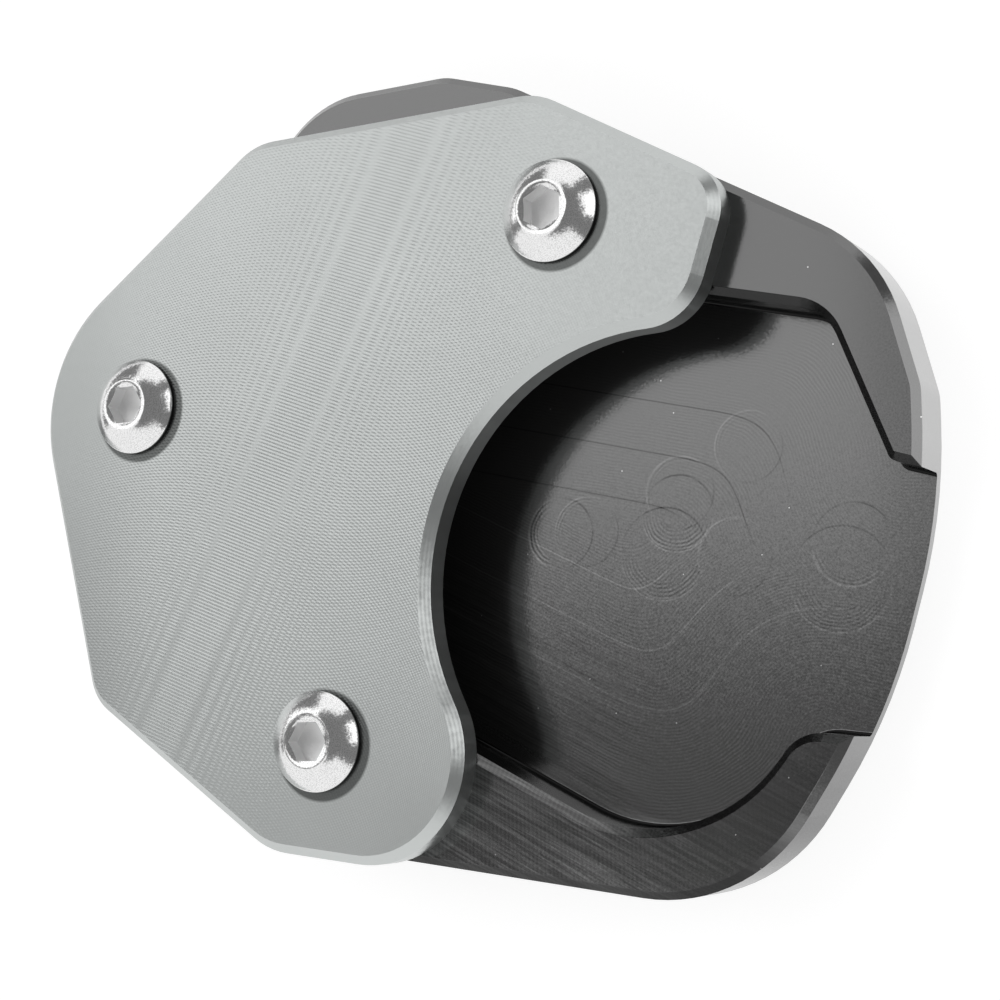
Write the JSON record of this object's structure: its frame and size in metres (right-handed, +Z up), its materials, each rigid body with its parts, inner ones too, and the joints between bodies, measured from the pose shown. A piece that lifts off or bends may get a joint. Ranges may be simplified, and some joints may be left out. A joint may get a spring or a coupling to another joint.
{
  "type": "kickstand foot enlarger",
  "caption": "Wide milled plate that clamps round a motorbike's side stand foot, with a pocket for the foot and a clamp plate held by button head screws.",
  "frame": {"origin": "middle of the bounding box's underside, on the face that meets the ground", "axes": "+Z up through the clamp plate, +X out of the pocket's open mouth, +Y towards the plates' long straight edges"},
  "size_m": [0.1014, 0.086, 0.0168],
  "materials": {
    "black_anodised": "black anodised, glossy, with fine milling marks",
    "grey_anodised": "grey anodised, satin, with fine face milling arcs",
    "stainless_steel": "bright polished stainless steel"
  },
  "bodies": {
    "root": {"base_plate": "black_anodised", "clamp_plate": "grey_anodised", "clamp_screws": "stainless_steel"}
  },
  "joints": []
}
